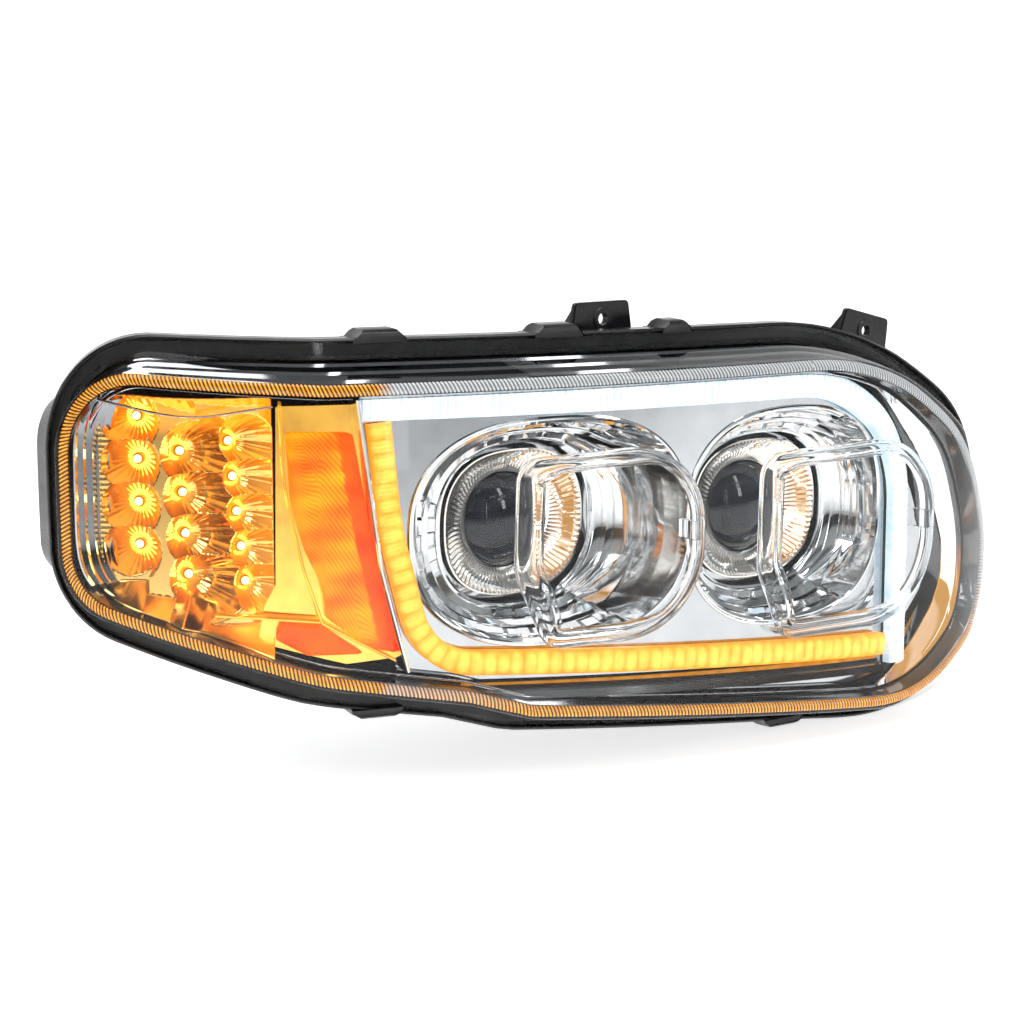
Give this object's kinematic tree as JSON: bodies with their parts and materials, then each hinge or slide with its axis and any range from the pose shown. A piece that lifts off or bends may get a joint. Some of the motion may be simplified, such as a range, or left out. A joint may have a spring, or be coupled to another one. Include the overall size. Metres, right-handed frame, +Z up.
{
  "type": "truck headlight",
  "caption": "Wraparound truck headlight with twin projector lamps, light guide bars and a turn signal under one clear lens.",
  "frame": {"origin": "centre of the rear mounting pad, on its rear face", "axes": "-Y is the front of the truck, +Z is up, -X is the outer side of the truck, where the lens wraps round"},
  "size_m": [0.611, 0.2547, 0.2662],
  "materials": {
    "clear_lens": "clear, polished, hard coated",
    "clear_trim": "clear, polished",
    "black_housing": "black, half gloss",
    "black_rubber": "matte",
    "chromed_plastic": "metallised plastic, mirror bright",
    "cast_metal": "bare die casting",
    "steel": "bright zinc",
    "bulb_metal": "satin",
    "projector_glass": "polished",
    "white_guide": "frosted light guide, lit white",
    "amber_guide": "frosted light guide, lit amber",
    "amber_led": "clear dome, lit amber",
    "amber_reflex": "transparent amber, cube patterned",
    "circuit_board": "solder mask",
    "grey_plastic": "moulded"
  },
  "bodies": {
    "housing": {"outer_lens": "clear_lens", "lens_seal": "black_rubber", "rear_housing": "black_housing", "lens_clip_1": "black_housing", "lens_clip_2": "black_housing", "lens_clip_3": "black_housing", "lens_clip_4": "black_housing", "lens_clip_5": "black_housing", "chrome_bezel": "chromed_plastic", "trim_hoop_outboard": "clear_trim", "trim_hoop_inboard": "clear_trim", "running_light_guide": "white_guide", "running_light_board": "circuit_board", "signal_light_guide": "amber_guide", "signal_light_board": "circuit_board", "turn_reflector": "chromed_plastic", "turn_led_board_1": "circuit_board", "turn_led_board_2": "circuit_board", "turn_led_board_3": "circuit_board", "turn_led_01": "amber_led", "turn_led_02": "amber_led", "turn_led_03": "amber_led", "turn_led_04": "amber_led", "turn_led_05": "amber_led", "turn_led_06": "amber_led", "turn_led_07": "amber_led", "turn_led_08": "amber_led", "turn_led_09": "amber_led", "turn_led_10": "amber_led", "turn_led_11": "amber_led", "turn_led_12": "amber_led", "turn_led_13": "amber_led", "side_reflex": "amber_reflex", "lower_reflex": "amber_reflex", "chamber_divider": "chromed_plastic", "pivot_stud_outboard": "steel", "pivot_stud_inboard": "steel", "vent_cap": "black_rubber", "power_socket": "black_housing", "driver_module": "cast_metal"},
    "beam": {"beam_carrier": "black_housing", "projector_bowl_outboard": "cast_metal", "projector_bowl_inboard": "cast_metal", "projector_lens_outboard": "projector_glass", "projector_lens_inboard": "projector_glass", "lens_shroud_outboard": "chromed_plastic", "lens_shroud_inboard": "chromed_plastic", "low_beam_shield": "cast_metal"},
    "aim_screw": {"aim_screw": "steel"},
    "aim_knob": {"aim_knob": "grey_plastic"},
    "cover_outboard": {"rear_cover_outboard": "black_housing", "cover_seal_outboard": "black_rubber"},
    "cover_inboard": {"rear_cover_inboard": "black_housing", "cover_seal_inboard": "black_rubber"},
    "bulb_outboard": {"bulb_outboard": "bulb_metal"},
    "bulb_inboard": {"bulb_inboard": "bulb_metal"}
  },
  "joints": [
    {"name": "beam_tilt", "type": "hinge", "parent": "housing", "child": "beam", "pos_m": [0, -0.088, 0], "axis": [1, 0, 0], "range_deg": [-2, 2]},
    {"name": "aim_screw_slide", "type": "slide", "parent": "housing", "child": "aim_screw", "axis": [0, 1, 0], "range_m": [-0.00227, 0.00227]},
    {"name": "aim_knob_turn", "type": "hinge", "parent": "housing", "child": "aim_knob", "pos_m": [0, 0, -0.062], "axis": [0, 1, 0], "range_deg": [-539, 539]},
    {"name": "cover_outboard_twist", "type": "hinge", "parent": "housing", "child": "cover_outboard", "pos_m": [-0.08, 0, 0.002], "axis": [0, 1, 0], "range_deg": [0, 30]},
    {"name": "cover_inboard_twist", "type": "hinge", "parent": "housing", "child": "cover_inboard", "pos_m": [0.08, 0, -0.002], "axis": [0, 1, 0], "range_deg": [0, 30]},
    {"name": "bulb_outboard_twist", "type": "hinge", "parent": "beam", "child": "bulb_outboard", "pos_m": [-0.08, -0.045, 0.002], "axis": [0, 1, 0], "range_deg": [0, 30]},
    {"name": "bulb_inboard_twist", "type": "hinge", "parent": "beam", "child": "bulb_inboard", "pos_m": [0.08, -0.078, -0.002], "axis": [0, 1, 0], "range_deg": [0, 30]}
  ],
  "couplings": [
    {"joint": "aim_screw_slide", "follows": "beam_tilt", "m_per_rad": 0.062},
    {"joint": "aim_knob_turn", "follows": "beam_tilt", "ratio": 259.7}
  ]
}
